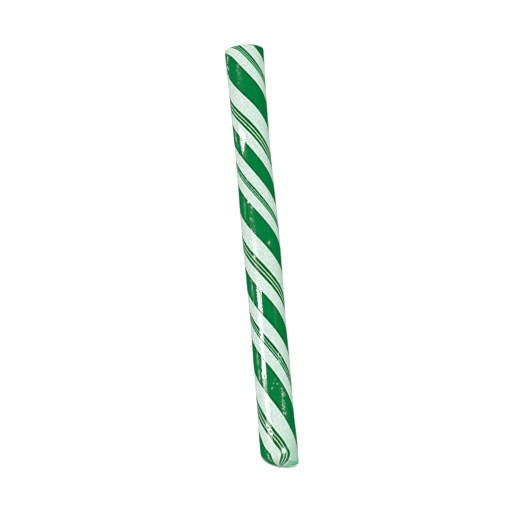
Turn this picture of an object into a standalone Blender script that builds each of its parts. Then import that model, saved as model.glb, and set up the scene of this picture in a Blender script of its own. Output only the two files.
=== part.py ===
# A hard candy stick in clear twisted film, lying on its side.
# Metres, +Z up. The stick lies along Y with its head at +Y, and rests on z = 0.
# The film is drawn tight, so the stick's solid reaches out to the film's outer
# surface. The two twisted film tails leave the candy and are solids of their own.

import math

import bmesh
import bpy

COLLECTION_NAME = "hard_candy_stick"

# The stick itself
STICK_LENGTH = 0.130
STICK_RADIUS = 0.0055
HEAD_Y = STICK_LENGTH / 2
FOOT_Y = -STICK_LENGTH / 2

# Uneven thickness of a pulled stick: distance from the head, spread, change of radius
SWELLS = (
    (0.000, 0.0110, 0.00043),
    (0.035, 0.0080, -0.00014),
    (0.060, 0.0130, 0.00020),
    (0.086, 0.0060, -0.00012),
    (0.122, 0.0050, 0.00030),
)

# Slight snaking of the stick to either side
SWAY = 0.00014
SWAY_PITCH = 0.097
SWAY_CREST = 0.070

# How far the rounding of each end runs back along the stick
HEAD_ROUND = 0.0015
FOOT_ROUND = 0.0030
FOOT_SLANT = 0.0017

# The sides of the solid, and its rings from head to foot
TURN_STEPS = 60
HEAD_RINGS = 6
BODY_RINGS = 34
FOOT_RINGS = 7

# The stick cooled lying down, so its underside is straight and has a narrow flat
FLAT_HALF_ANGLE = math.radians(12)

# The film is gathered over each end in pleats that run from the rim to the twist
GATHER_PLEATS = 15
GATHER_DEPTH = 0.00008

# A film tail: twisted at the middle of the end, then folded flat against it
TAIL_GAP = 0.0003
TAIL_THICKNESS = 0.00025
TAIL_ROOT = 0.0009
TAIL_LENGTH = 0.0046
TAIL_HALF_ANGLE = math.radians(52)
TAIL_PLEATS = 6
PLEAT_DEPTH = 0.00012
STEPS_PER_PLEAT = 4
TAIL_RINGS = 6
KNOT_RADIUS = 0.0012
KNOT_HALF_THICKNESS = 0.00025
KNOT_TURNS = 20
KNOT_RINGS = 8

HEAD_FOLD = math.radians(-90)
FOOT_FOLD = math.radians(0)

# Colours of the sugar and of the film
MINT_WHITE = (0.68, 0.83, 0.75, 1.0)
CLEAR_FILM = (0.90, 0.94, 0.92, 0.25)
CANDY_ROUGHNESS = 0.18
FILM_ROUGHNESS = 0.08


def clear_scene():
    for old in list(bpy.data.objects):
        bpy.data.objects.remove(old, do_unlink=True)


def make_collection(name):
    collection = bpy.data.collections.new(name)
    bpy.context.scene.collection.children.link(collection)
    return collection


def make_material(name, colour, roughness):
    material = bpy.data.materials.new(name)
    material.use_nodes = True
    shader = material.node_tree.nodes["Principled BSDF"]
    shader.inputs["Base Color"].default_value = colour
    shader.inputs["Roughness"].default_value = roughness
    shader.inputs["Metallic"].default_value = 0.0
    shader.inputs["Alpha"].default_value = colour[3]
    return material


def stick_radius(y):
    # The plain radius plus one smooth swelling or waist for each entry in SWELLS.
    from_head = HEAD_Y - y
    radius = STICK_RADIUS
    for place, spread, change in SWELLS:
        radius += change * math.exp(-((from_head - place) / spread) ** 2)
    return radius


def stick_centre(y):
    # The middle of the section: it sways in X, and sits so that the flat is on z = 0.
    from_head = HEAD_Y - y
    sway = SWAY * math.cos(2 * math.pi * (from_head - SWAY_CREST) / SWAY_PITCH)
    return sway, stick_radius(y) * math.cos(FLAT_HALF_ANGLE)


def foot_round(turn):
    # The foot is rounded further back on its -X side than on its +X side.
    return FOOT_ROUND - FOOT_SLANT * math.cos(turn)


def gather(turn, bend):
    # Height of the pleats: nothing at the middle of the end and at its rim.
    return GATHER_DEPTH * math.sin(GATHER_PLEATS * turn) * math.sin(2 * bend)


def ring_place(ring, turn):
    # How far along Y a ring lies, and how much of the full radius it has.
    foot_start = HEAD_RINGS + BODY_RINGS
    foot_depth = foot_round(turn)
    if ring <= HEAD_RINGS:
        bend = math.radians(90) * ring / HEAD_RINGS
        fall = HEAD_ROUND * (1 - math.cos(bend))
        return HEAD_Y - fall + gather(turn, bend), math.sin(bend)
    if ring >= foot_start:
        bend = math.radians(90) * (foot_start + FOOT_RINGS - ring) / FOOT_RINGS
        fall = foot_depth * (1 - math.cos(bend))
        return FOOT_Y + fall - gather(turn, bend), math.sin(bend)
    along = (ring - HEAD_RINGS) / BODY_RINGS
    head_end = HEAD_Y - HEAD_ROUND
    foot_end = FOOT_Y + foot_depth
    return head_end + along * (foot_end - head_end), 1.0


def stick_point(ring, turn):
    y, share = ring_place(ring, turn)
    centre_x, centre_z = stick_centre(y)
    radius = stick_radius(y) * share
    x = centre_x + radius * math.cos(turn)
    z = centre_z + radius * math.sin(turn)
    return x, y, max(z, 0.0)


def make_stick(collection, material):
    # A ball tipped over so that its pole is the head, with each ring carried to its
    # place along the stick.
    rings = HEAD_RINGS + BODY_RINGS + FOOT_RINGS
    shape = bmesh.new()
    bmesh.ops.create_uvsphere(shape, u_segments=TURN_STEPS, v_segments=rings, radius=1.0)
    for vertex in shape.verts:
        height = max(-1.0, min(1.0, vertex.co.z))
        ring = round(rings * math.acos(height) / math.pi)
        step = round(TURN_STEPS * math.atan2(-vertex.co.y, vertex.co.x) / (2 * math.pi))
        vertex.co = stick_point(ring, 2 * math.pi * step / TURN_STEPS)
    mesh = bpy.data.meshes.new("candy_stick")
    shape.to_mesh(mesh)
    shape.free()
    mesh.shade_smooth()
    mesh.materials.append(material)
    stick = bpy.data.objects.new("candy_stick", mesh)
    collection.objects.link(stick)
    return stick


def end_surface(end_y, depth, reach, turn, lift):
    # A point over the rounded end, reach away from its middle and lifted off along Y.
    centre_x, centre_z = stick_centre(end_y)
    outward = math.copysign(1.0, end_y)
    share = min(reach / stick_radius(end_y), 1.0)
    fall = depth * (1 - math.sqrt(1 - share ** 2))
    y = end_y + outward * (lift - fall)
    return centre_x + reach * math.cos(turn), y, centre_z + reach * math.sin(turn)


def make_fan(end_y, depth, fold):
    # An open pleated sheet that spreads from the twist towards the rim.
    steps = TAIL_PLEATS * STEPS_PER_PLEAT
    lift = TAIL_GAP + TAIL_THICKNESS / 2 + PLEAT_DEPTH
    shape = bmesh.new()
    rows = []
    for ring in range(TAIL_RINGS + 1):
        spread = ring / TAIL_RINGS
        reach = TAIL_ROOT + spread * (TAIL_LENGTH - TAIL_ROOT)
        row = []
        for step in range(steps + 1):
            turn = fold + TAIL_HALF_ANGLE * (2 * step / steps - 1)
            pleat = PLEAT_DEPTH * spread * math.sin(2 * math.pi * step / STEPS_PER_PLEAT)
            row.append(shape.verts.new(end_surface(end_y, depth, reach, turn, lift + pleat)))
        rows.append(row)
    for inner, outer in zip(rows, rows[1:]):
        for step in range(steps):
            shape.faces.new((inner[step], inner[step + 1], outer[step + 1], outer[step]))
    mesh = bpy.data.meshes.new("tail_fan")
    shape.to_mesh(mesh)
    shape.free()
    return mesh


def make_knot(end_y):
    # The flattened twist at the middle of the end, which is kept as a cutter object.
    centre_x, centre_z = stick_centre(end_y)
    outward = math.copysign(1.0, end_y)
    lift = TAIL_GAP + KNOT_HALF_THICKNESS
    shape = bmesh.new()
    bmesh.ops.create_uvsphere(shape, u_segments=KNOT_TURNS, v_segments=KNOT_RINGS, radius=1.0)
    for vertex in shape.verts:
        x, y, z = vertex.co
        vertex.co = (
            centre_x + KNOT_RADIUS * x,
            end_y + outward * (lift + KNOT_HALF_THICKNESS * z),
            centre_z - outward * KNOT_RADIUS * y,
        )
    mesh = bpy.data.meshes.new("tail_knot")
    shape.to_mesh(mesh)
    shape.free()
    return mesh


def make_tail(name, end_y, depth, fold, collection, cutters, material):
    knot = bpy.data.objects.new(name + "_knot", make_knot(end_y))
    knot.hide_render = True
    knot.display_type = "WIRE"
    cutters.objects.link(knot)

    tail = bpy.data.objects.new(name, make_fan(end_y, depth, fold))
    tail.data.materials.append(material)
    tail.data.shade_smooth()
    collection.objects.link(tail)

    shell = tail.modifiers.new("film_thickness", "SOLIDIFY")
    shell.thickness = TAIL_THICKNESS
    shell.offset = 0.0
    join = tail.modifiers.new("twist_knot", "BOOLEAN")
    join.operation = "UNION"
    join.solver = "EXACT"
    join.object = knot
    return tail


def main():
    clear_scene()
    collection = make_collection(COLLECTION_NAME)
    cutters = make_collection(COLLECTION_NAME + "_cutters")
    candy = make_material("candy", MINT_WHITE, CANDY_ROUGHNESS)
    film = make_material("clear_film", CLEAR_FILM, FILM_ROUGHNESS)
    make_stick(collection, candy)
    make_tail("film_tail_head", HEAD_Y, HEAD_ROUND, HEAD_FOLD, collection, cutters, film)
    foot_depth = foot_round(FOOT_FOLD)
    make_tail("film_tail_foot", FOOT_Y, foot_depth, FOOT_FOLD, collection, cutters, film)


main()
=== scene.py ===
import math

import bpy
import numpy as np
from mathutils import Matrix, Vector


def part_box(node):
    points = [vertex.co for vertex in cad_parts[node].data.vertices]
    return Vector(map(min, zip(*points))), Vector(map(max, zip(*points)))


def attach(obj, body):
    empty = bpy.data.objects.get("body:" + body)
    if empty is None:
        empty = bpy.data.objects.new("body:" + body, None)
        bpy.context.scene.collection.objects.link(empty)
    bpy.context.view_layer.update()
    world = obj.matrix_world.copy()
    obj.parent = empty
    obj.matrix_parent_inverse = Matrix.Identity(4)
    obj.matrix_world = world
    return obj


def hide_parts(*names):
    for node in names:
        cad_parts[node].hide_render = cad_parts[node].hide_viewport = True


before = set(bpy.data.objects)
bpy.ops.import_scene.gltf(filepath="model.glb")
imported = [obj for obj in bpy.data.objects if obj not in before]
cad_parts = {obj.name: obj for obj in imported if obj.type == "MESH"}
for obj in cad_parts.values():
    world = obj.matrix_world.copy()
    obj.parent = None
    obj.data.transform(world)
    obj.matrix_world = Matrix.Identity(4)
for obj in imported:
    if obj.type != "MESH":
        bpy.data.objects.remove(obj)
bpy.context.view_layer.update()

stickLow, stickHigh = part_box("candy_stick")
headY = float(stickHigh[1])
footY = float(stickLow[1])
millimetre = 0.001
fullTurn = 2 * math.pi
scene = bpy.context.scene
print("frame loaded, stick from", round(footY, 4), "to", round(headY, 4))


# The form that the sugar and the film share. A turn is 0 on top and grows towards +X, and lengths
# are in millimetres, so that a radius, a place or a depth reads as it would be measured.
form = {
    "radius": 5.52,                     # out to the film
    "swells": (                         # distance from the head, spread, change of radius
        (0.0, 12.0, 0.52),
        (17.0, 8.0, 0.10),
        (35.0, 8.0, -0.07),
        (60.0, 13.0, 0.20),
        (86.0, 6.0, -0.12),
        (122.0, 5.0, 0.20),
    ),
    "sway": (0.09, 97.0, 70.0),         # how far it snakes sideways, pitch, first crest
    "headRound": 1.5,                   # how far the rounding of each end runs back
    "footRound": 2.4,
    "footSlant": 1.25,                  # the foot is rounded further back on its -X side
    "footTilt": (0.6, 0.45),            # its end is set back, more on its -X side
    "flatHalfAngle": 12.0,              # degrees, the narrow flat it rests on
}


def distanceFromHead(y):
    # Millimetres from the head's end: the head's Y less y.
    return (headY - y) / millimetre


def radiusAt(y):
    # The plain radius plus one bell curve for each swell, change * exp(-((d - place) / spread)^2).
    fromHead = distanceFromHead(y)
    radius = form["radius"] + 0.0 * fromHead
    for place, spread, change in form["swells"]:
        radius = radius + change * np.exp(-((fromHead - place) / spread) ** 2)
    return radius * millimetre


def middleAt(y):
    # The middle sways as a cosine in X, and stands as high as the radius less the flat.
    amount, pitch, crest = form["sway"]
    x = amount * millimetre * np.cos(fullTurn * (distanceFromHead(y) - crest) / pitch)
    return x, radiusAt(y) * math.cos(math.radians(form["flatHalfAngle"]))


def footRoundAt(turn):
    # How far the foot's rounding runs back: less a slant times the sine of the turn.
    return (form["footRound"] - form["footSlant"] * np.sin(turn)) * millimetre


def footSetBack(sideways):
    # The foot's end is a tilted plane: sideways is -1 at its -X rim and 1 at its +X rim.
    back, tilt = form["footTilt"]
    return (back - tilt * sideways) * millimetre


def layRings(turns, inset, headRings, bodyRings, footRings):
    # Both ends are half ellipses, y = end - depth * (1 - cos bend) and share of radius = sin bend,
    # and the rings between them are evenly spaced. Row 0 and the last row are the two poles.
    bendHead = np.linspace(0.0, math.pi / 2, headRings + 1)[:, None]
    bendFoot = np.linspace(math.pi / 2, 0.0, footRings + 1)[:, None]
    along = np.linspace(0.0, 1.0, bodyRings + 1)[1:-1, None]
    flat = np.ones((1, turns.size))
    headDepth = form["headRound"] * millimetre
    footDepth = footRoundAt(turns)[None, :]
    yHead = headY - inset - headDepth * (1 - np.cos(bendHead)) * flat
    yFoot = footY + inset + footDepth * (1 - np.cos(bendFoot))
    yFoot = yFoot + footSetBack(np.sin(turns)[None, :] * np.sin(bendFoot))
    yBody = yHead[-1:] + along * (yFoot[:1] - yHead[-1:])
    y = np.concatenate([yHead, yBody, yFoot])
    share = np.concatenate([np.sin(bendHead) * flat, np.ones_like(yBody), np.sin(bendFoot) * flat])
    return y, share


def smoothStep(low, high, value):
    # 3t^2 - 2t^3, where t is how far the value lies from low to high, held between 0 and 1.
    t = np.clip((value - low) / (high - low), 0.0, 1.0)
    return t * t * (3 - 2 * t)


def waves(rng, value, pitches):
    # A smooth wandering line: sines of the given pitches, each with its own random start.
    total = 0.0 * value
    for pitch in pitches:
        total = total + np.sin(fullTurn * value / pitch + rng.uniform(0.0, fullTurn))
    return total / len(pitches)


def closedSkin(name, points, columnsU=None, layers=None):
    # points has a row for each ring and a column for each turn. The first and last rows are poles,
    # so each keeps one point. Quads join the rings and triangles close the poles, facing outwards.
    rows, columns = points.shape[0], points.shape[1]
    inner = points[1:-1].reshape(-1, 3)
    verts = np.concatenate([inner, points[:1, 0], points[-1:, 0]])
    ring = np.arange(rows - 2)[:, None] * columns
    here = np.arange(columns)[None, :]
    after = (here + 1) % columns
    corners = [ring[:-1] + here, ring[1:] + here, ring[1:] + after, ring[:-1] + after]
    quads = np.stack(corners, axis=-1).reshape(-1, 4)
    headPole = inner.shape[0] + 0 * here[0]
    headFan = np.stack([headPole, here[0], after[0]], axis=-1)
    lastRing = (rows - 3) * columns
    footFan = np.stack([headPole + 1, lastRing + after[0], lastRing + here[0]], axis=-1)
    mesh = bpy.data.meshes.new(name)
    mesh.from_pydata(verts.tolist(), [], quads.tolist() + headFan.tolist() + footFan.tolist())
    mesh.shade_smooth()
    if columnsU is not None:            # one more column than points, so that no face crosses a seam
        u = columnsU[1:-1]
        quadU = np.stack([u[:-1, :-1], u[1:, :-1], u[1:, 1:], u[:-1, 1:]], axis=-1).reshape(-1)
        headMid = 0.5 * (columnsU[0, :-1] + columnsU[0, 1:])
        footMid = 0.5 * (columnsU[-1, :-1] + columnsU[-1, 1:])
        headU = np.stack([headMid, u[0, :-1], u[0, 1:]], axis=-1).reshape(-1)
        footU = np.stack([footMid, u[-1, 1:], u[-1, :-1]], axis=-1).reshape(-1)
        flatU = np.concatenate([quadU, headU, footU])
        uv = np.zeros((flatU.size, 2))
        uv[:, 0] = flatU
        corner = np.concatenate([quads.reshape(-1), headFan.reshape(-1), footFan.reshape(-1)])
        uv[:, 1] = (headY - verts[corner, 1]) / (10 * millimetre)
        mesh.uv_layers.new(name="stripes").data.foreach_set("uv", uv.reshape(-1))
    for layer, values in (layers or {}).items():
        flat = np.concatenate([values[1:-1].reshape(-1), values[:1, 0], values[-1:, 0]])
        mesh.attributes.new(layer, "FLOAT", "POINT").data.foreach_set("value", flat)
    piece = bpy.data.objects.new(name, mesh)
    scene.collection.objects.link(piece)
    return piece


class Wire:
    # One output in a shader tree. Arithmetic on it adds Math nodes; node() adds any other kind.
    def __init__(self, tree, socket=None):
        self.tree = tree
        self.socket = socket

    def node(self, kind, settings=None, inputs=None, output=0):
        # Adds a node, whose inputs are values or wires, and gives a wire from one of its outputs.
        made = self.tree.nodes.new(kind)
        for name, value in (settings or {}).items():
            setattr(made, name, value)
        for name, value in (inputs or {}).items():
            if isinstance(value, Wire):
                self.tree.links.new(value.socket, made.inputs[name])
            else:
                made.inputs[name].default_value = value
        return Wire(self.tree, made.outputs[output] if made.outputs else None)

    def maths(self, operation, *others):
        # A Math node with this wire as its first value.
        values = dict(enumerate((self,) + others))
        return self.node("ShaderNodeMath", {"operation": operation}, values)

    def remap(self, low, high, toLow=0.0, toHigh=1.0, shape="SMOOTHSTEP"):
        # From one range to another, held between its ends and smooth unless told otherwise.
        ends = {"Value": self, "From Min": low, "From Max": high, "To Min": toLow, "To Max": toHigh}
        return self.node("ShaderNodeMapRange", {"interpolation_type": shape, "clamp": True}, ends)

    def __add__(self, other):
        return self.maths("ADD", other)

    def __radd__(self, other):
        return self.maths("ADD", other)

    def __sub__(self, other):
        return self.maths("SUBTRACT", other)

    def __rsub__(self, other):
        return self.node("ShaderNodeMath", {"operation": "SUBTRACT"}, {0: other, 1: self})

    def __mul__(self, other):
        return self.maths("MULTIPLY", other)

    def __rmul__(self, other):
        return self.maths("MULTIPLY", other)


def newMaterial(name):
    # An empty material, and a wire with no socket to start its tree from.
    material = bpy.data.materials.new(name)
    material.use_nodes = True
    material.node_tree.nodes.clear()
    return material, Wire(material.node_tree)


def endIn(shader):
    # The finished shader goes to the material's surface.
    shader.node("ShaderNodeOutputMaterial", None, {"Surface": shader})


def blendColour(factor, first, second):
    # Mix in its colour form: sockets 6 and 7 are the colours and output 2 is the result.
    return factor.node("ShaderNodeMix", {"data_type": "RGBA"}, {0: factor, 6: first, 7: second}, 2)


# The stripes, pulled and wound with the sugar. A band runs from one share of a turn to another,
# and a group of lines also gives each line's share of the group.
stripes = {
    "startTurn": -0.0515,               # where the stripe pattern stands at the head
    "turnsPerMetre": 23.18,             # how tightly it winds near the head
    "slackens": (5.56, 80.6, 11.3),     # turns per metre lost, where (mm), over what length (mm)
    "knots": (16.0, 12.0),              # the winding wanders in bells: how far apart, how wide (mm)
    "drift": (0.010, -0.0055, 0.0015, -0.009, -0.007, 0.0, 0.001, 0.001, 0.0255),
    "skew": (-0.016, 0.017, -0.0115, -0.0105, -0.0045, 0.0115, 0.0125, -0.0065, 0.008),
    "seam": 0.06,                       # puts the pattern's own wrap in the middle of a pale band
    "wide": ((0.161, 0.3585), (0.724, 0.8835)),
    "fine": (0.0, 0.060, ((0.0, 0.36), (0.45, 0.70), (0.78, 1.0))),
    "triple": (0.5150, 0.6150, ((0.0, 0.31), (0.389, 0.634), (0.720, 1.0))),
    "fineNarrows": (6.5, 8.5, 0.91),    # from, to (cm from the head), scale across: under 1 is wider
    "tripleNarrows": (10.0, 11.5, 0.97),
    "tripleBow": (11.2, 11.7, 11.95, 12.25, 0.0095),  # it bows aside: in and out (cm), how far (turns)
    "footLean": (3.0, 112.0, 128.0),    # how far they lean along the slanted foot, from, to (mm)
    "footCurl": (0.12, 125.5, 3.8, 0.7),        # turns they hook back, from, over (mm), less at -X
    "crown": (0.0125, 2.6, 2.6, 9.0),   # turns they bend at the head, over (mm), more at +X, at -X
    "heel": (0.040, 123.8, 2.6),        # turns that they bend on the -X side, where, spread (mm)
    "edge": 0.0009,                     # half the softness of a stripe's edge, in turns
    "rim": (0.0190, 0.0200),            # how far the dark rim of a wide band runs in, in turns
    "paleRim": (0.0157, 0.0064),        # how far off it the white starts to pale and has paled
    "green": (0.0004, 0.193, 0.046, 1),
    "pinGreen": (0.0003, 0.095, 0.004, 1),
    "firstGreen": (0.0002, 0.050, 0.003, 1),
    "fineGreen": (0.0003, 0.075, 0.006, 1),
    "fineGround": (0.330, 1.000, 0.560, 1),
    "fineGroundFoot": (0.400, 1.000, 0.660, 1),
    "groundPales": (6.5, 8.5),          # where its ground turns to that, from, to (cm)
    "tripleGround": (0.650, 1.000, 0.760, 1),
    "greenRim": (0.0022, 0.093, 0.014, 1),
    "greenMottle": (0.0003, 0.170, 0.036, 1),
    "bleed": (0.02, 0.750, 0.380, 1),   # a thin fringe where the green runs into the white
    "white": (0.665, 0.803, 0.713, 1),
    "whiteStreak": (0.570, 0.750, 0.640, 1),
    "whiteGrain": (0.560, 0.630, 0.570, 1),
    # painted shade: the white darkens to mint on the foot's +X side, where the light falls off
    "footShadeMint": (0.424, 0.640, 0.503, 1),       # the white turns to mint towards +X at the foot
    # painted shade of a film fold: a thin dark arc at the foot
    "foldShadeArc": (0.070, 0.330, 0.170, 1),
    "mintCorner": (0.300, 0.640, 0.440, 1),
    "whiteRim": (0.950, 1.000, 0.900, 1),
}

sugar = {
    "inset": 0.08,                      # millimetres from the film's outer surface to the sugar
    "columns": 240,
    "headRings": 14,
    "bodyRings": 330,
    "footRings": 22,
    "grooveDepth": 0.012,               # shallow relief that winds with the stripes
    "grooves": ((2, 1.0, 0.0), (5, 0.5, 1.0)),  # ridges in a turn, height, start
    "dentDepth": 0.02,
    "dents": (                          # lobes round the stick, start, pitches along it (metres)
        (1, 0.6, (0.031, 0.017, 0.011)),
        (2, -0.4, (0.023, 0.014)),
    ),
    "floorGap": 0.03,                   # the sugar's flat stays this far above the floor
    "rippleScale": 420.0,               # noises that roughen the bands' edges, the green, the white
    "mottleScale": 900.0,
    "gritScale": 2300.0,
    "streakScale": (90.0, 1.2),         # streaks are fine across the stripes and long along them
    "roughness": (0.42, 0.55),
    # where the painted shade of mint lies on the foot's +X side
    "footShadeSpan": (11.9, 12.6, 0.0045),   # from, to (cm from the head), how far over to +X (metres)
    "cornerMint": (12.6, 13.0, 0.0018, 0.0040),
    # painted shade of a film fold: where its dark arc lies at the foot
    "foldShadeLine": (12.8, 12.0, 0.0022, 0.0032),    # where (cm), its slope, how far over to +X (metres)
}


def woundTurns(y):
    # Turns wound by the stripes down to y: a steady rate, less a rate that comes in softly at one
    # place, which is the log of 1 + exp and so has no corner.
    lost, place, over = stripes["slackens"]
    fromHead = distanceFromHead(y)
    soft = np.logaddexp(0.0, (fromHead - place) / over) - math.log1p(math.exp(-place / over))
    soft = over * soft
    return stripes["startTurn"] + (stripes["turnsPerMetre"] * fromHead - lost * soft) * millimetre


def bellRow(y, heights):
    # A sum of evenly spaced bells, height * exp(-((d - place) / spread)^2).
    spacing, spread = stripes["knots"]
    fromHead = distanceFromHead(y)
    total = 0.0 * fromHead
    for index, height in enumerate(heights):
        total = total + height * np.exp(-((fromHead - spacing * index) / spread) ** 2)
    return total


def stripePhase(y, turns):
    # Wound turns less the turn round the stick, with a little drift and a skew that grows with the
    # sine of the turn. At the head the stripes bend back by a bell, more with the square of that
    # sine. Near the foot they lean with the slanted rounding, bend by a bell on the -X side, and
    # hook back by the power 1.5 of the way past the place where the curl begins.
    fromHead = distanceFromHead(y)
    sine = np.sin(turns)[None, :]
    leftward = np.minimum(sine, 0.0)
    leans, leanFrom, leanTo = stripes["footLean"]
    lean = leans * millimetre * sine * smoothStep(leanFrom, leanTo, fromHead)
    curl, curlFrom, curlOver, curlEases = stripes["footCurl"]
    hook = curl * np.maximum((fromHead - curlFrom) / curlOver, 0.0) ** 1.5 * (1 + curlEases * leftward)
    bent, heelPlace, heelSpread = stripes["heel"]
    heel = bent * np.exp(-((fromHead - heelPlace) / heelSpread) ** 2) * leftward
    bow, bowOver, bowRight, bowLeft = stripes["crown"]
    crown = bow * np.exp(-(fromHead / bowOver) ** 2)
    crown = crown * (1 + np.where(sine > 0, bowRight, bowLeft) * sine ** 2)
    wander = bellRow(y, stripes["drift"]) + bellRow(y, stripes["skew"]) * sine
    wound = woundTurns(y + lean) + stripes["seam"] - turns[None, :] / fullTurn
    return wound + wander + heel - crown - hook


def makeSugar():
    # The shared form less the inset, with a relief on its radius: cosines of the stripes' own phase,
    # and dents that wave along the stick and have one or two lobes round it.
    turns = np.linspace(-math.pi, math.pi, sugar["columns"] + 1)
    inset = sugar["inset"] * millimetre
    y, share = layRings(turns, inset, sugar["headRings"], sugar["bodyRings"], sugar["footRings"])
    phase = stripePhase(y, turns)
    rng = np.random.default_rng(4)
    groove = 0.0
    for ridges, height, start in sugar["grooves"]:
        groove = groove + height * np.cos(ridges * fullTurn * phase + start)
    dents = 0.0
    for lobes, start, pitches in sugar["dents"]:
        dents = dents + waves(rng, y, pitches) * np.cos(lobes * turns + start)[None, :]
    relief = (sugar["grooveDepth"] * groove + sugar["dentDepth"] * dents) * millimetre
    middleX, middleZ = middleAt(y)
    radius = (radiusAt(y) - inset + relief * share) * share
    x = middleX + radius * np.sin(turns)[None, :]
    z = middleZ + radius * np.cos(turns)[None, :]
    points = np.stack([x, y, np.maximum(z, sugar["floorGap"] * millimetre)], axis=-1)
    return closedSkin("sugarStick", points[:, :-1], phase)


def bandDistance(wrapped, low, high):
    # Signed distance in turns to the nearer edge of one band: above zero inside it.
    return (wrapped - (low + stripes["seam"])).maths("MINIMUM", (high + stripes["seam"]) - wrapped)


def nearest(distances):
    # The greatest of several signed distances: above zero inside any of the bands.
    best = distances[0]
    for distance in distances[1:]:
        best = best.maths("MAXIMUM", distance)
    return best


def lineBands(wrapped, along, group, narrows):
    # Distances into a group of fine lines, first for the whole group and then for each line. The
    # group is scaled about its middle by an amount that changes along the stick.
    low, high, lines = group
    begin, end, scale = narrows
    wide = high - low
    middle = (low + high) / 2 + stripes["seam"]
    scaled = (wrapped - middle) * along.remap(begin, end, 1.0, scale) + middle
    whole = bandDistance(scaled, low, high)
    return whole, [bandDistance(scaled, low + a * wide, low + b * wide) for a, b in lines]


def noise(place, scale, detail):
    # A smooth noise between 0 and 1, finer as the scale grows.
    return place.node("ShaderNodeTexNoise", None, {"Vector": place, "Scale": scale, "Detail": detail})


def sugarMaterial():
    # Colours are laid over each other by the signed distance into each band, in turns of the
    # stripes' phase, which is the first part of the UV map. The second part is the distance from
    # the head in centimetres.
    material, start = newMaterial("pulledSugar")
    uv = start.node("ShaderNodeUVMap", {"uv_map": "stripes"})
    across = uv.node("ShaderNodeSeparateXYZ", None, {0: uv})
    along = uv.node("ShaderNodeSeparateXYZ", None, {0: uv}, 1)
    place = start.node("ShaderNodeTexCoord", None, None, 3)
    sideways = place.node("ShaderNodeSeparateXYZ", None, {0: place})
    ripple = noise(place, sugar["rippleScale"], 2.0)
    mottle = noise(place, sugar["mottleScale"], 3.0)
    grit = noise(place, sugar["gritScale"], 2.0)
    streakAcross, streakAlong = sugar["streakScale"]
    grain = across.node("ShaderNodeCombineXYZ", None, {0: across * streakAcross, 1: along * streakAlong})
    streak = noise(grain, 1.0, 4.0)

    # how far into each band a place is
    wrapped = (across + (ripple - 0.5) * 0.003).maths("FRACT")
    wide = nearest([bandDistance(wrapped, low, high) for low, high in stripes["wide"]])
    fineGround, fineLines = lineBands(wrapped, along, stripes["fine"], stripes["fineNarrows"])
    bowIn, bowFull, bowEases, bowOut, bowTurns = stripes["tripleBow"]
    bowed = wrapped - along.remap(bowIn, bowFull) * along.remap(bowOut, bowEases) * bowTurns
    tripleGround, boldLines = lineBands(bowed, along, stripes["triple"], stripes["tripleNarrows"])
    outside = wide.maths("MAXIMUM", fineGround).maths("MAXIMUM", tripleGround)
    edge = stripes["edge"]

    # the white, which pales towards the bands and at the foot darkens to mint towards +X, a painted
    # shade
    white = blendColour(streak.remap(0.42, 0.72), stripes["white"], stripes["whiteStreak"])
    white = blendColour(grit.remap(0.44, 0.64), white, stripes["whiteGrain"])
    paleFrom, paleTo = stripes["paleRim"]
    white = blendColour(outside.remap(-paleFrom, -paleTo) * 0.8, white, stripes["whiteRim"])
    # painted shade: the white darkens to mint on the foot's +X side, where the light falls off
    mintFrom, mintTo, mintSide = sugar["footShadeSpan"]
    mint = along.remap(mintFrom, mintTo) * sideways.remap(0.0, mintSide) * 0.75
    white = blendColour(mint, white, stripes["footShadeMint"])
    # painted shade: a thin dark arc near the foot's end on +X, the shade of a film fold
    arcPlace, arcSlope, arcFrom, arcTo = sugar["foldShadeLine"]
    arc = (along + (ripple - 0.5) * 0.12 - sideways * arcSlope - arcPlace).maths("ABSOLUTE")
    arc = arc.remap(0.055, 0.015) * sideways.remap(arcFrom, arcTo) * 0.8
    white = blendColour(arc, white, stripes["foldShadeArc"])
    white = blendColour(outside.remap(-paleTo, 0.0), white, stripes["bleed"])

    # the grounds of both groups, the wide greens with their dark rims, and the lines
    colour = blendColour(tripleGround.remap(-edge, edge), white, stripes["tripleGround"])
    palesFrom, palesTo = stripes["groundPales"]
    pales = along.remap(palesFrom, palesTo)
    ground = blendColour(pales, stripes["fineGround"], stripes["fineGroundFoot"])
    colour = blendColour(fineGround.remap(-edge, edge), colour, ground)
    green = blendColour(mottle.remap(0.35, 0.75) * 0.6, stripes["green"], stripes["greenMottle"])
    rimTo, rimFrom = stripes["rim"]
    green = blendColour(wide.remap(rimFrom, rimTo), green, stripes["greenRim"])
    colour = blendColour(wide.remap(-edge, edge), colour, green)
    colour = blendColour(nearest(fineLines).remap(-edge, edge), colour, stripes["fineGreen"])
    colour = blendColour(nearest(boldLines).remap(-edge, edge), colour, stripes["pinGreen"])
    colour = blendColour(fineLines[0].remap(-edge, edge), colour, stripes["firstGreen"])

    # the foot's corner on +X turns pale mint over all of them
    cornerFrom, cornerTo, cornerSide, cornerFull = sugar["cornerMint"]
    cornerReach = along + (ripple - 0.5) * 0.30 + (streak - 0.5) * 0.25
    corner = cornerReach.remap(cornerFrom, cornerTo) * sideways.remap(cornerSide, cornerFull)
    colour = blendColour(corner, colour, stripes["mintCorner"])

    bump = streak.node("ShaderNodeBump", None, {
        "Strength": 0.15, "Distance": 0.00004, "Height": streak,
    })
    smooth, rough = sugar["roughness"]
    endIn(bump.node("ShaderNodeBsdfPrincipled", None, {
        "Base Color": colour,
        "Roughness": streak.remap(0.3, 0.8, smooth, rough, "LINEAR"),
        "Specular IOR Level": 0.0,
        "Normal": bump,
    }))
    return material


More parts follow.
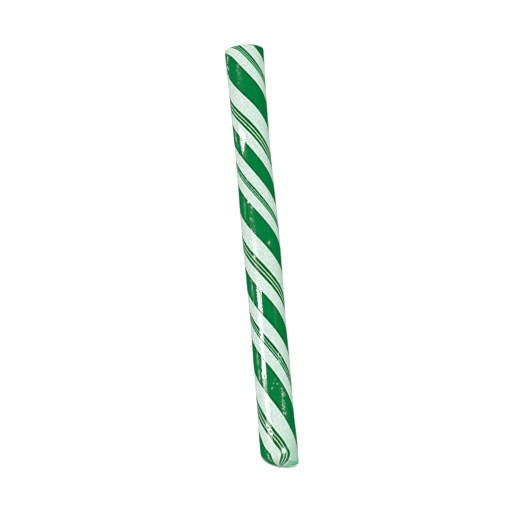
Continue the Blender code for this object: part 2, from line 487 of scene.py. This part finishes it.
# The film, drawn tight over the stick, creased lengthwise and pleated over both ends. Angles are in
# degrees and lengths in millimetres.
film = {
    "columns": 210,
    "headRings": 18,
    "bodyRings": 420,
    "footRings": 28,
    "creases": 19,
    "firstCrease": -14.0,
    "creaseJitter": 3.5,
    "creaseWander": 1.6,
    "creaseWidth": 0.9,
    "lift": 0.095,                      # how far a crease stands off the sugar
    "liftChange": 0.03,
    "leastGap": 0.008,                  # the film never comes nearer the sugar than this
    "softening": ((-2, 0.12), (-1, 0.23), (0, 0.3), (1, 0.23), (2, 0.12)),  # columns away, weight
    "shineCreases": (-14.5, -30.5),     # the two creases on the light's side
    "shineSway": (4.2, 70.0, 68.0),     # how far they sway, pitch and crest
    "shinePull": (-5.5, 31.0, 7.0),     # how far the outer one is pulled aside, where, spread
    "tent": (25.5, 35.4, -30.0, 14.0, 0.62),    # a slack place: from, to, turn, half width, lift
    "drawnDepth": 0.005,                # fine lines drawn along the film
    "drawnPitch": 0.75,
    "sag": 0.012,                       # slow waves along it
    "flapHigh": 0.022,                  # the overlap of the film, a second layer thick
    "flapLeft": (-75.0, -45.5, 14.0, 40.0),     # its angle near the head, further on, from and to
    "flapRight": 24.0,
    "lipHigh": 0.02,
    "lipWidth": 0.85,
    "twinAway": 3.2,                    # a fainter second lip stands so many widths off
    "lipShows": (                       # where the left lip shows: from, to, how white
        (2.0, 11.0, 0.75),
        (26.5, 31.5, 0.75),
        (46.0, 54.0, 0.40),
        (73.0, 80.5, 0.75),
        (94.5, 99.0, 0.75),
        (98.6, 104.4, 1.35),
    ),
    "endPleats": 23,
    "endPleatDepth": 0.07,
    "pocketLift": 0.04,
    "patchLean": (0.12, -22.0),         # a patch's ends lean with the stripes: per degree, from
    "patchSoft": (0.35, 2.0),           # half the softness of its ends and of its sides
    "patches": (                        # from, to, left from, to, right from, to, gloss
        (-5.0, 27.8, -80.0, -80.0, 4.0, 4.0, 0.07),
        (27.0, 30.2, -27.0, -24.0, 4.0, 4.0, 0.30),
        (25.0, 29.7, -80.0, -80.0, -27.0, -24.0, 0.35),
        (27.8, 36.2, -80.0, -80.0, -40.0, -36.0, 0.05),
        (27.8, 36.2, -16.0, -33.0, 4.0, 4.0, 0.05),
        (27.8, 36.2, -40.0, -36.0, -16.0, -33.0, 2.3),
        (36.0, 58.3, -80.0, -80.0, 4.0, 4.0, 0.07),
        (58.3, 65.2, -80.0, -80.0, 4.0, 4.0, 0.30),
        (65.2, 75.0, -80.0, -80.0, 4.0, 4.0, 0.10),
        (75.2, 82.6, -80.0, -80.0, -28.0, -28.0, 0.15),
        (75.2, 82.6, -28.0, -28.0, -11.0, -11.0, 1.7),
        (75.3, 77.2, -26.5, -20.0, -18.5, -16.0, 0.03),
        (77.0, 82.0, -18.5, -18.5, -15.0, -15.0, 0.60),
        (75.2, 82.6, -11.0, -11.0, 4.0, 4.0, 0.15),
        (82.6, 83.4, -80.0, -80.0, 4.0, 4.0, 0.25),
        (83.4, 88.6, -80.0, -80.0, 4.0, 4.0, 0.29),
        (88.6, 92.0, -80.0, -80.0, -30.0, -30.0, 0.25),
        (88.6, 92.0, -30.0, -30.0, -18.0, -18.0, 1.0),
        (88.6, 92.0, -18.0, -18.0, 4.0, 4.0, 0.25),
        (92.0, 97.4, -80.0, -80.0, 4.0, 4.0, 0.32),
        (98.0, 107.6, -80.0, -80.0, -34.0, -35.0, 0.20),
        (98.0, 107.6, -34.5, -35.5, -17.5, -23.5, 1.5),
        (101.3, 107.6, -26.5, -26.5, -22.5, -22.5, 0.40),
        (98.0, 107.6, -17.5, -23.5, 4.0, 4.0, 0.12),
        (107.6, 117.2, -80.0, -80.0, 4.0, 4.0, 0.36),
        (121.0, 125.5, -36.0, -36.0, -16.0, -16.0, 0.40),
        (117.2, 121.0, -80.0, -80.0, 4.0, 4.0, 0.40),
        (121.0, 131.0, -95.0, -95.0, -36.0, -18.0, 0.03),
        (-5.0, 104.0, 4.0, 4.0, 75.0, 75.0, 0.10),
        (109.0, 131.0, 4.0, 4.0, 75.0, 75.0, 0.10),
    ),
    # Runs of air trapped under the film, and painted glints: from, to, turn from, to, how many, size,
    # how white. Above 1 its middle is filled in, a painted highlight, and below 0 it clears a spot.
    "pocketsAndGlints": (
        (5.9, 12.4, -29.0, -14.0, 7, 0.38, 0.29),
        (50.5, 58.0, -28.0, -17.0, 7, 0.35, 0.38),
        (61.9, 62.5, 23.0, 25.0, 1, 0.40, 0.60),
        (42.4, 42.8, -25.0, -24.0, 1, 0.28, 1.60),
        (40.9, 41.3, -31.0, -30.0, 1, 0.25, 0.80),
        (49.0, 49.4, -28.0, -27.0, 1, 0.30, 1.60),
        (95.6, 99.8, 18.0, 30.0, 7, 0.42, 0.95),
        (103.5, 107.0, -6.0, 22.0, 5, 0.24, 0.80),
        (105.4, 115.4, 21.0, 31.0, 14, 0.35, 0.78),
        (126.9, 127.2, -38.0, -37.0, 1, 0.22, 1.50),
        (125.2, 125.4, 14.2, 14.8, 2, 0.43, 1.95),
        (63.2, 63.8, -37.0, -35.0, 1, 0.30, 1.40),
        (66.1, 66.5, -27.0, -25.0, 1, 0.32, 1.60),
        (3.6, 10.6, -74.0, -60.0, 9, 0.40, 1.00),
        (127.0, 129.5, 12.0, 30.0, 8, 0.40, 0.60),
        (125.8, 126.0, 16.0, 16.4, 1, 0.24, -1.00),
        (124.9, 127.8, -45.0, -30.0, 6, 0.26, 0.70),
        (101.6, 103.2, -33.5, -32.5, 3, 0.20, 1.70),
        (116.6, 117.4, -34.0, -28.0, 2, 0.26, 1.60),
        (118.4, 119.0, -26.0, -21.0, 2, 0.24, 1.50),
        (119.9, 120.4, -17.0, -14.0, 1, 0.22, 1.40),
        (20.0, 126.0, 100.0, 140.0, 26, 0.50, 0.80),
        (10.0, 120.0, -150.0, -110.0, 26, 0.50, 0.80),
    ),
    "roughness": 0.21,
    "mirror": 0.045,                    # share of light that the film mirrors face on
    "edgeMirror": (4.0, 0.30),          # the power and the share that it gains edge on
    "drawnScale": (1700.0, 110.0, 1700.0),      # noises for its fine lines, scuffs and crinkles
    "scuffScale": (1000.0, 260.0, 1000.0),
    "crinkleScale": 800.0,
    "hazeRoughness": 0.35,
    "thinHaze": (0.60, 0.97, 0.71, 1),
    "thickHaze": (0.84, 0.97, 0.88, 1),
}


def creaseAngle(rng, y, index):
    # The creases are evenly spaced, each with a jitter of its own, and wander along the stick. The
    # two on the light's side sway as a cosine instead, and the outer one is pulled aside by a bell.
    fromHead = distanceFromHead(y)
    wander = waves(rng, y, (0.083, 0.047, 0.029)) * film["creaseWander"]
    jitter = rng.uniform(-1.0, 1.0) * film["creaseJitter"]
    if index not in (0, film["creases"] - 1):
        return film["firstCrease"] + 360.0 * index / film["creases"] + jitter + wander
    amount, pitch, crest = film["shineSway"]
    sway = amount * np.cos(fullTurn * (fromHead - crest) / pitch)
    if index == 0:
        return film["shineCreases"][0] + 0.3 * wander + sway
    pull, pullPlace, pullSpread = film["shinePull"]
    pulled = pull * np.exp(-((fromHead - pullPlace) / pullSpread) ** 2)
    return film["shineCreases"][1] + 0.3 * wander + sway + pulled


def creaseChords(rng, y, turns, radius):
    # Between two creases the film is a straight chord in the section. With creases at radii a and
    # b and w turns apart, the chord's radius at t from the first is
    # a * b * sin w / (a * sin t + b * sin(w - t)).
    count = film["creases"]
    angles = []
    heights = []
    for index in range(count):
        angles.append(np.radians(creaseAngle(rng, y, index)))
        lift = film["lift"] + film["liftChange"] * waves(rng, y, (0.037, 0.019, 0.008))
        heights.append(radius + lift * millimetre)
    chord = radius.copy()
    ridge = np.zeros_like(radius)
    for index in range(count):
        after = (index + 1) % count
        width = (angles[after] - angles[index]) % fullTurn
        t = (turns[None, :] - angles[index]) % fullTurn
        a, b = heights[index], heights[after]
        span = a * b * np.sin(width) / (a * np.sin(t) + b * np.sin(width - t))
        chord = np.where(t <= width, span, chord)
        offset = (turns[None, :] - angles[index] + math.pi) % fullTurn - math.pi
        ridge = np.maximum(ridge, np.exp(-(offset / math.radians(film["creaseWidth"])) ** 2))
    # each crease is a soft fold, so the outline is averaged over a few neighbouring columns
    soft = sum(weight * np.roll(chord, shift, axis=1) for shift, weight in film["softening"])
    return np.maximum(soft, radius + film["leastGap"] * millimetre), ridge


def overlap(rng, y, degrees):
    # A second layer between two wandering edges. Each lip is a bell across the left edge, as wide as
    # it looks from above, and its haze shows only along some stretches, broken by waves.
    fromHead = distanceFromHead(y)
    near, far, begin, end = film["flapLeft"]
    leftEdge = near + (far - near) * smoothStep(begin, end, fromHead)
    leftEdge = leftEdge + 1.5 * waves(rng, y, (0.03, 0.013))
    rightEdge = film["flapRight"] + 2.0 * waves(rng, y, (0.04, 0.017))
    rightEdge = rightEdge + 2.5 * waves(rng, y, (0.0031, 0.0019))
    inside = smoothStep(-0.8, 0.8, degrees - leftEdge) * smoothStep(6.0, -6.0, degrees - rightEdge)
    width = film["lipWidth"] / np.maximum(np.cos(np.radians(leftEdge)), 0.25)
    lip = np.exp(-((degrees - leftEdge) / width) ** 2)
    twin = np.exp(-((degrees - leftEdge + film["twinAway"] * width) / width) ** 2)
    broken = np.clip(0.55 + waves(rng, y, (0.011, 0.0043, 0.0023)), 0.0, 1.0)
    strength = 0.0 * fromHead
    for begin, end, white in film["lipShows"]:
        shown = smoothStep(begin - 1.0, begin + 1.0, fromHead)
        shown = shown * smoothStep(end + 1.0, end - 1.0, fromHead)
        strength = np.maximum(strength, white * shown)
    haze = strength * (lip * (0.2 + 0.8 * broken) + 0.5 * twin * broken)
    return film["flapHigh"] * inside + film["lipHigh"] * lip, haze


def trappedAirAndGlints(rng, fromHead, degrees, lift, haze):
    # Each pocket is a leaning bell, exp(-(along / long)^2 - (across / wide)^2), which lifts the film
    # and which the material draws as crinkled threads. Whiter than 1, its middle is a painted highlight.
    crinkle = np.zeros_like(fromHead)
    for start, end, turnFrom, turnTo, count, size, whiteness in film["pocketsAndGlints"]:
        paintedGlint = max(whiteness - 1.0, 0.0)
        clears = max(-whiteness, 0.0)
        for step in range(count):
            place = start + (end - start) * (step + rng.uniform(0.0, 1.0)) / count
            angle = rng.uniform(turnFrom, turnTo)
            wide = size * rng.uniform(0.7, 1.2)
            long = size * rng.uniform(0.8, 1.9)
            slope = rng.uniform(-0.5, 0.5)
            across = (degrees - angle) * math.radians(1.0) * form["radius"]
            across = across + slope * (fromHead - place)
            bell = np.exp(-((fromHead - place) / long) ** 2 - (across / wide) ** 2)
            core = np.minimum(1.8 * bell, 1.0)
            lift = lift + film["pocketLift"] * bell
            white = whiteness * rng.uniform(0.6, 1.0)
            crinkle = np.maximum(crinkle, white * np.minimum(1.6 * bell, 1.0))
            # painted highlight: the middle of a pocket whiter than 1 is filled with milky haze
            haze = np.maximum(haze, paintedGlint * core)
            haze = haze * (1.0 - clears * core)
    return lift, haze, crinkle


def glossPatches(fromHead, degrees):
    # Patches of more or less gloss, multiplied together. Each is a soft window along the stick and
    # another across it, whose sides run straight from one angle to another.
    lean, leanFrom = film["patchLean"]
    endSoft, sideSoft = film["patchSoft"]
    leaned = fromHead - lean * (degrees - leanFrom)
    gleam = np.ones_like(fromHead)
    for start, end, leftFrom, leftTo, rightFrom, rightTo, gloss in film["patches"]:
        way = np.clip((leaned - start) / (end - start), 0.0, 1.0)
        left = leftFrom + (leftTo - leftFrom) * way
        right = rightFrom + (rightTo - rightFrom) * way
        inside = smoothStep(start - endSoft, start + endSoft, leaned)
        inside = inside * smoothStep(end + endSoft, end - endSoft, leaned)
        inside = inside * smoothStep(left - sideSoft, left + sideSoft, degrees)
        inside = inside * smoothStep(right + sideSoft, right - sideSoft, degrees)
        gleam = gleam * (1.0 + (gloss - 1.0) * inside)
    return gleam


def slackPlace(fromHead, degrees):
    # One place stands off like a tent: it rises at once and falls in a straight line to the foot.
    begin, end, turn, halfWidth, rise = film["tent"]
    ramp = smoothStep(begin - 2.5, begin, fromHead)
    ramp = ramp * np.clip((end - fromHead) / (end - begin), 0.0, 1.0)
    return rise * ramp * smoothStep(halfWidth + 3.0, halfWidth - 3.0, np.abs(degrees - turn))


def drawnLines(rng, y, turns):
    # Two sets of fine sines across the film, which wander along it and show in patches.
    arc = turns[None, :] * form["radius"]
    patch = waves(rng, y, (0.019, 0.011, 0.006)) + np.sin(2 * turns + 1.0)[None, :]
    wide = fullTurn * arc / film["drawnPitch"] + 2.0 * waves(rng, y, (0.021, 0.009))
    fine = fullTurn * arc / (0.62 * film["drawnPitch"]) + 2.5 * waves(rng, y, (0.014, 0.006))
    return film["drawnDepth"] * (np.sin(wide) + np.sin(fine)) * np.clip(patch, 0.0, 1.0)


def makeFilm():
    # The radius is the chord between creases plus what lifts the film, in millimetres. Over each end
    # it closes to a pole, and pleats that swirl towards it stand out along Y.
    turns = np.linspace(-math.pi, math.pi, film["columns"] + 1)[:-1]
    y, share = layRings(turns, 0.0, film["headRings"], film["bodyRings"], film["footRings"])
    rng = np.random.default_rng(11)
    fromHead = distanceFromHead(y)
    degrees = np.degrees(turns)[None, :] + 0.0 * y
    chord, ridge = creaseChords(rng, y, turns, radiusAt(y) - sugar["inset"] * millimetre)
    haze = 0.012 * ridge * (0.5 + 0.5 * waves(rng, y, (0.009, 0.005, 0.021)))
    lift, lipHaze = overlap(rng, y, degrees)
    lift, haze, crinkle = trappedAirAndGlints(rng, fromHead, degrees, lift, haze + lipHaze)
    gleam = glossPatches(fromHead, degrees)
    lift = lift + slackPlace(fromHead, degrees)
    lift = lift + drawnLines(rng, y, turns)
    lobes = (1 + np.sin(3 * turns + 0.7))[None, :]
    lift = lift + film["sag"] * waves(rng, y, (0.013, 0.007, 0.004)) * lobes
    radius = (chord + lift * millimetre) * share

    # the pleats over both ends
    side = np.sign(y)
    bend = np.arcsin(np.clip(share, 0.0, 1.0))
    swirl = 1.6 * (1 - share) * side
    pleat = np.sin(film["endPleats"] * turns[None, :] + 3 * swirl + 1.3 * np.sin(3 * turns)[None, :])
    pleat = pleat + 0.5 * np.sin(9 * turns[None, :] + 2 * swirl)
    outward = side * film["endPleatDepth"] * millimetre * pleat * np.sin(2 * bend)
    outward = np.where(share < 1.0, outward, 0.0)
    whiter = 0.05 + 0.20 * smoothStep(-0.2, 0.7, np.sin(turns))[None, :]
    whiter = whiter * np.sin(2 * bend) * np.clip(pleat, 0.0, 1.0)
    haze = haze + np.where(share < 1.0, whiter, 0.0)

    middleX, middleZ = middleAt(y)
    x = middleX + radius * np.sin(turns)[None, :]
    z = middleZ + radius * np.cos(turns)[None, :]
    points = np.stack([x, y + outward, np.maximum(z, 0.0)], axis=-1)
    layers = {"haze": np.clip(haze, 0.0, 0.9), "crinkle": crinkle, "gleam": gleam}
    return closedSkin("filmWrap", points, None, layers)


def filmMaterial():
    # Clear film mixed with gloss and then with a milky haze. The gloss's share is
    # edge share * facing^power + mirror * gleam * scuffs.
    material, start = newMaterial("clearFilm")
    place = start.node("ShaderNodeTexCoord", None, None, 3)
    drawn = place.node("ShaderNodeMapping", None, {"Vector": place, "Scale": film["drawnScale"]})
    lines = noise(drawn, 1.0, 0.5)
    worn = place.node("ShaderNodeMapping", None, {"Vector": place, "Scale": film["scuffScale"]})
    scuffs = noise(worn, 1.0, 1.0).remap(0.36, 0.64, 1.0, 0.50)
    bump = lines.node("ShaderNodeBump", None, {"Strength": 0.25, "Distance": 0.00002, "Height": lines})
    clear = bump.node("ShaderNodeBsdfTransparent", None, {"Color": (1, 1, 1, 1)})
    gloss = bump.node("ShaderNodeBsdfAnisotropic", None, {
        "Color": (1, 1, 1, 1), "Roughness": film["roughness"], "Normal": bump,
    })
    facing = bump.node("ShaderNodeLayerWeight", None, {"Blend": 0.5, "Normal": bump}, 1)
    gleam = start.node("ShaderNodeAttribute", {"attribute_name": "gleam"}, None, 2)
    power, edgeShare = film["edgeMirror"]
    mirror = facing.maths("POWER", power) * edgeShare + gleam * scuffs * film["mirror"]
    sheet = mirror.node("ShaderNodeMixShader", None, {0: mirror, 1: clear, 2: gloss})
    # the haze and crinkles also carry the painted highlights of pockets whiter than 1
    # the crinkles are threads, where a noise crosses its middle
    haze = start.node("ShaderNodeAttribute", {"attribute_name": "haze"}, None, 2)
    crinkle = start.node("ShaderNodeAttribute", {"attribute_name": "crinkle"}, None, 2)
    wriggle = place.node("ShaderNodeTexNoise", None, {
        "Vector": place, "Scale": film["crinkleScale"], "Detail": 1.0, "Distortion": 0.5,
    })
    thread = (wriggle - 0.5).maths("ABSOLUTE").remap(0.075, 0.03)
    haze = haze.maths("MAXIMUM", crinkle * thread)
    milk = blendColour(haze.remap(0.30, 0.85), film["thinHaze"], film["thickHaze"])
    milky = bump.node("ShaderNodeBsdfPrincipled", None, {
        "Base Color": milk, "Roughness": film["hazeRoughness"], "Normal": bump,
    })
    endIn(haze.node("ShaderNodeMixShader", None, {0: haze, 1: sheet, 2: milky}))
    return material


# The film's tails, each twisted at the middle of its end and folded flat against it
tail = {
    "root": 0.5,                        # how far from the middle the fan starts
    "reach": 4.75,                      # and how far it reaches
    "halfAngle": 54.0,
    "pleats": 9,
    "pleatDepth": 0.12,
    "proud": 0.24,                      # how far it stands off the stick's end
    "tuckedIn": 0.22,                   # how much nearer to it the rim comes
    "hugging": 0.6,                     # share of the end's roundness that it follows
    "columns": 180,
    "rings": 46,
    "sheet": 0.035,
    "crinkle": 0.3,
    "headFold": 180.0,                  # degrees: the head's tail lies downwards
    "footFold": 90.0,                   # and the foot's tail towards +X
}

knot = {
    "columns": 96,
    "rings": 26,
    "radius": 1.25,
    "high": 0.22,
    "above": 0.08,                      # its underside's height over the stick's end
    "ribs": 11,
    "haze": (0.25, 0.25),               # between the ribs, and how much more on them
}


def makeTail(name, side, fold, seed):
    # An open fan. Across it the turn runs from -halfAngle to +halfAngle and opens out from the
    # twist, along it the reach grows, and pleats of growing depth stand off the end.
    rng = np.random.default_rng(seed)
    along = np.linspace(0.0, 1.0, tail["rings"])[:, None]
    across = np.linspace(-1.0, 1.0, tail["columns"])[None, :]
    endY = headY if side > 0 else footY
    middleX, middleZ = middleAt(np.array(endY))
    ragged = 1 - 0.10 * np.abs(across) + 0.05 * waves(rng, across, (0.9, 0.37, 0.21))
    reach = tail["root"] + (tail["reach"] * ragged - tail["root"]) * along
    turn = np.radians(fold) + np.radians(tail["halfAngle"]) * across * (0.45 + 0.55 * along)
    depth = form["headRound"] * millimetre if side > 0 else footRoundAt(turn)
    setBack = 0.0 if side > 0 else footSetBack(np.sin(turn) * reach / form["radius"])
    fall = depth * (1 - np.sqrt(1 - np.minimum(reach / 6.0, 1.0) ** 2))
    phase = tail["pleats"] * math.pi * across + 1.2 * waves(rng, across, (1.1, 0.6)) + 0.8 * along
    pleat = tail["pleatDepth"] * np.arcsin(np.sin(phase)) / 1.57 * along ** 0.6
    lift = tail["proud"] + pleat + 0.04 * waves(rng, across + 0.5 * along, (0.31, 0.17)) * along
    lift = lift - tail["tuckedIn"] * along ** 3
    x = middleX + reach * millimetre * np.sin(turn)
    z = middleZ + reach * millimetre * np.cos(turn)
    y = endY + setBack + side * (lift * millimetre - tail["hugging"] * fall)
    points = np.stack([x, y, z], axis=-1)
    rings, columns = points.shape[:2]
    start = np.arange(rings - 1)[:, None] * columns
    here = start + np.arange(columns - 1)[None, :]
    faces = np.stack([here, here + columns, here + columns + 1, here + 1], axis=-1).reshape(-1, 4)
    if side > 0:
        faces = faces[:, ::-1]
    mesh = bpy.data.meshes.new(name)
    mesh.from_pydata(points.reshape(-1, 3).tolist(), [], faces.tolist())
    mesh.shade_smooth()
    crest = np.clip(pleat / tail["pleatDepth"], 0.0, 1.0) ** 2 * 0.45 + 0.25
    crinkle = np.full(crest.size, tail["crinkle"])
    mesh.attributes.new("haze", "FLOAT", "POINT").data.foreach_set("value", crest.reshape(-1))
    mesh.attributes.new("gleam", "FLOAT", "POINT").data.foreach_set("value", np.ones(crest.size))
    mesh.attributes.new("crinkle", "FLOAT", "POINT").data.foreach_set("value", crinkle)
    piece = bpy.data.objects.new(name, mesh)
    scene.collection.objects.link(piece)
    thick = piece.modifiers.new("filmThickness", "SOLIDIFY")
    thick.thickness = tail["sheet"] * millimetre
    thick.offset = 0.0
    return piece


def makeKnot(name, side):
    # A flat bead of twisted film. Round its section the reach is a sine and the height a cosine of
    # the same level, and its ribs swirl.
    turns = np.linspace(-math.pi, math.pi, knot["columns"] + 1)[:-1]
    level = np.linspace(0.0, math.pi, knot["rings"])[:, None]
    share = np.sin(level)
    endY = headY if side > 0 else footY + footSetBack(0.0)
    middleX, middleZ = middleAt(np.array(endY))
    rib = np.sin(knot["ribs"] * turns[None, :] + 5.0 * share + 1.1 * np.sin(2 * turns)[None, :])
    reach = knot["radius"] * millimetre * share * (1 + 0.07 * rib)
    half = knot["high"] * millimetre / 2
    swell = side * half * np.cos(level) * (1 + 0.12 * rib * share)
    high = side * (knot["above"] * millimetre + half + swell)
    x = middleX + reach * np.sin(turns)[None, :]
    z = middleZ + reach * np.cos(turns)[None, :]
    points = np.stack([x, endY + high + 0.0 * x, z], axis=-1)
    least, more = knot["haze"]
    haze = least + more * np.clip(rib, 0.0, 1.0) * share + 0.0 * x
    layers = {"haze": haze, "crinkle": np.full_like(x, tail["crinkle"]), "gleam": np.ones_like(x)}
    return closedSkin(name, points, None, layers)


sugarPiece = makeSugar()
sugarPiece.data.materials.append(sugarMaterial())
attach(sugarPiece, "root")
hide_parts("candy_stick")
print("sugar stick done")

clearFilm = filmMaterial()
filmPiece = makeFilm()
filmPiece.data.materials.append(clearFilm)
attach(filmPiece, "root")
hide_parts("candy_stick")
print("film done")

for end, side, fold, seed in (("Head", 1, tail["headFold"], 21), ("Foot", -1, tail["footFold"], 35)):
    tailPiece = makeTail("filmTail" + end, side, fold, seed)
    knotPiece = makeKnot("filmKnot" + end, side)
    for piece in (tailPiece, knotPiece):
        piece.data.materials.append(clearFilm)
        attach(piece, "root")
        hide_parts("film_tail_" + end.lower())
print("film tails done")


# The floor, the lights and the camera. A light stands at an angle from straight up, towards +X, at
# a distance and a place along the stick in metres. The camera's lengths are in millimetres.
studio = {
    "world": ((0.21, 0.35, 0.265, 1), 1.0),
    "floor": {"half": 1.5, "under": 0.0001, "colour": (0.4, 0.4, 0.4, 1), "glow": 0.80},
    "key": {
        "side": -8.5, "middle": 0.0, "distance": 1.2, "width": 0.8, "length": 0.8,
        "power": 14.7, "colour": (1.0, 0.826, 0.945),
    },
    "rightFill": {
        "side": 66.0, "middle": 0.0, "distance": 1.2, "width": 0.5, "length": 0.8,
        "power": 1.5, "colour": (0.50, 1.0, 0.80),
    },
    "leftShine": {
        "side": -48.0, "middle": 0.0515, "distance": 0.50, "width": 0.21, "length": 0.093,
        "power": 2.2, "colour": (1.0, 0.91, 0.96),
    },
    "rightShine": {
        "side": 49.0, "middle": 0.026, "distance": 0.50, "width": 0.12, "length": 0.028,
        "power": 0.5, "colour": (1.0, 1.0, 1.0),
    },
    "camera": {
        "tilt": 10.0, "roll": 5.0, "lens": 200.0, "sensor": 36.0,
        "across": 154.172, "aside": 2.146, "height": 5.38,
    },
}


def makeFloor():
    # One wide square just under the stick, which glows a little.
    half = studio["floor"]["half"]
    low = -studio["floor"]["under"]
    corners = [(-half, -half, low), (half, -half, low), (half, half, low), (-half, half, low)]
    mesh = bpy.data.meshes.new("floor")
    mesh.from_pydata(corners, [], [(0, 1, 2, 3)])
    floor = bpy.data.objects.new("floor", mesh)
    scene.collection.objects.link(floor)
    material, start = newMaterial("paleFloor")
    endIn(start.node("ShaderNodeBsdfPrincipled", None, {
        "Base Color": studio["floor"]["colour"],
        "Roughness": 0.8,
        "Emission Color": (1, 1, 1, 1),
        "Emission Strength": studio["floor"]["glow"],
    }))
    floor.data.materials.append(material)
    floor.visible_glossy = False


def makeWorld():
    # An even light from all round, which the gloss doesn't show.
    colour, strength = studio["world"]
    world = bpy.data.worlds.new("studio")
    world.use_nodes = True
    background = world.node_tree.nodes["Background"]
    background.inputs["Color"].default_value = colour
    background.inputs["Strength"].default_value = strength
    scene.world = world
    world.cycles_visibility.glossy = False      # set last, as Blender then updates the scene's world


def makePanel(name, isSoft):
    # A flat light, turned to face the stick's middle with its length along Y. A soft one lights
    # the colours and the other kind only shows in the gloss.
    panel = studio[name]
    side = math.radians(panel["side"])
    reach = panel["distance"]
    toLight = Vector((math.sin(side) * reach, panel["middle"], math.cos(side) * reach))
    out = toLight.normalized()
    sideways = Vector((0, 1, 0)).cross(out).normalized()
    data = bpy.data.lights.new(name, "AREA")
    data.shape = "RECTANGLE"
    data.size = panel["width"]
    data.size_y = panel["length"]
    data.energy = panel["power"]
    data.color = panel["colour"]
    light = bpy.data.objects.new(name, data)
    turned = Matrix((sideways, out.cross(sideways), out)).transposed().to_4x4()
    light.matrix_world = Matrix.Translation(toLight + Vector((0, 0, 0.006))) @ turned
    light.visible_glossy = not isSoft
    light.visible_diffuse = isSoft
    scene.collection.objects.link(light)


def makeCamera():
    # The camera leans from straight down towards the foot's side and rolls about its own axis. Its
    # distance is the width that it sees times the lens over the sensor.
    values = studio["camera"]
    tilt = math.radians(values["tilt"])
    roll = math.radians(values["roll"])
    away = Vector((0, -math.sin(tilt), math.cos(tilt)))
    levelUp = Vector((0, math.cos(tilt), math.sin(tilt)))
    levelRight = Vector((1, 0, 0))
    right = math.cos(roll) * levelRight - math.sin(roll) * levelUp
    up = math.sin(roll) * levelRight + math.cos(roll) * levelUp
    data = bpy.data.cameras.new("camera")
    data.lens = values["lens"]
    data.sensor_width = values["sensor"]
    data.clip_start = 0.01
    data.clip_end = 10.0
    camera = bpy.data.objects.new("camera", data)
    aim = Vector((0, 0, values["height"] * millimetre)) - right * (values["aside"] * millimetre)
    distance = values["across"] * millimetre * values["lens"] / values["sensor"]
    turned = Matrix((right, up, away)).transposed().to_4x4()
    camera.matrix_world = Matrix.Translation(aim + away * distance) @ turned
    scene.collection.objects.link(camera)
    scene.camera = camera


makeFloor()
makeWorld()
makePanel("key", True)
makePanel("rightFill", True)
makePanel("leftShine", False)
makePanel("rightShine", False)
makeCamera()
scene.view_settings.view_transform = "Standard"
print("floor, light and camera done")
